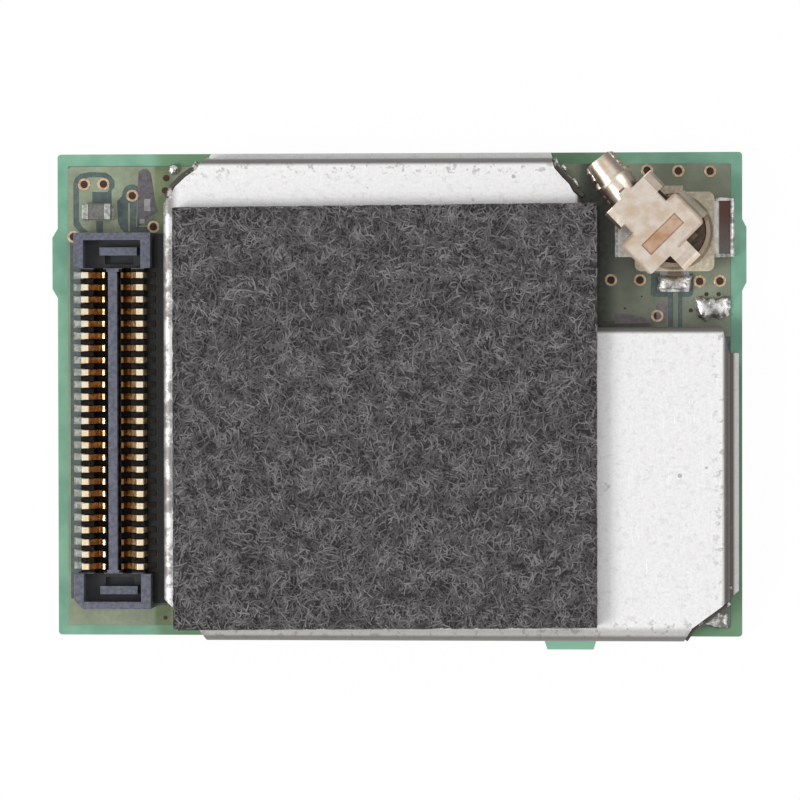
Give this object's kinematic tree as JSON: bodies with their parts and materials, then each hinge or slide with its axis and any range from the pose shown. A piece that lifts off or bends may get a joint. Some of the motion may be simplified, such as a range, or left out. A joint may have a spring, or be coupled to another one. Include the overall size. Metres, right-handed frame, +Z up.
{
  "type": "wifi module",
  "caption": "Small wireless network board with a soldered L-shaped shield can, a felt pad, a board-to-board connector and a coaxial plug snapped on its antenna socket.",
  "frame": {"origin": "centre of the circuit board's flat underside", "axes": "+X along the board's length, away from the board-to-board connector; +Y across it, towards the coaxial socket; +Z up through the can"},
  "size_m": [0.0229, 0.0163, 0.003],
  "materials": {
    "solder_mask": "satin green solder mask over glass cloth laminate",
    "plated_copper": "dull plated copper",
    "tinned_land": "tinned",
    "tinned_sheet": "matt tin-plated sheet",
    "solder": "solder, satin",
    "felt": "dark grey nonwoven felt",
    "adhesive_film": "clear tacky film",
    "dark_polymer": "moulded, matt",
    "gold_plating": "gold flash on formed strip",
    "grey_ceramic": "sintered, matt",
    "tinned_end": "tinned, satin",
    "beige_polymer": "moulded, matt",
    "silver_plate": "silver plated",
    "gold_pin": "gold plated",
    "plug_plating": "warm silver plate, lightly tarnished",
    "pale_polymer": "moulded, matt",
    "mould_compound": "black moulding compound",
    "dark_ceramic": "fired, matt",
    "nickel_lid": "nickel plated lid",
    "pale_ceramic": "fired, matt",
    "ferrite": "pressed ferrite",
    "tan_ceramic": "sintered, matt",
    "black_glaze": "black glaze"
  },
  "bodies": {
    "board": {"circuit_board": "solder_mask", "via_rings": "plated_copper", "solder_lands": "tinned_land", "shield_can": "tinned_sheet", "shield_solder": "solder", "felt_pad": "felt", "pad_adhesive": "adhesive_film", "connector_housing": "dark_polymer", "connector_anchors": "tinned_land", "contacts_left": "gold_plating", "contacts_right": "gold_plating", "chip_capacitor": "grey_ceramic", "capacitor_ends": "tinned_end", "socket_base": "beige_polymer", "socket_shell": "silver_plate", "socket_pin": "gold_pin", "socket_solder": "solder", "radio_chip": "mould_compound", "radio_leads": "tinned_end", "flash_memory": "mould_compound", "memory_leads": "tinned_end", "front_end_module": "mould_compound", "front_end_leads": "tinned_end", "voltage_regulator": "mould_compound", "regulator_leads": "tinned_end", "crystal_base": "dark_ceramic", "crystal_lid": "nickel_lid", "crystal_lands": "tinned_end", "ceramic_filter": "pale_ceramic", "filter_ends": "tinned_end", "power_inductor": "ferrite", "inductor_ends": "tinned_end", "small_capacitors": "tan_ceramic", "small_capacitor_ends": "tinned_end", "small_resistors": "black_glaze", "small_resistor_ends": "tinned_end", "inner_lands": "tinned_land"},
    "plug": {"plug_shell": "plug_plating", "plug_insulator": "pale_polymer", "plug_contact": "gold_pin"}
  },
  "joints": [
    {"name": "plug_swivel", "type": "hinge", "parent": "board", "child": "plug", "pos_m": [0.00909, 0.00534, 0.0006], "axis": [0, 0, 1], "range_deg": [-178, 5]}
  ]
}
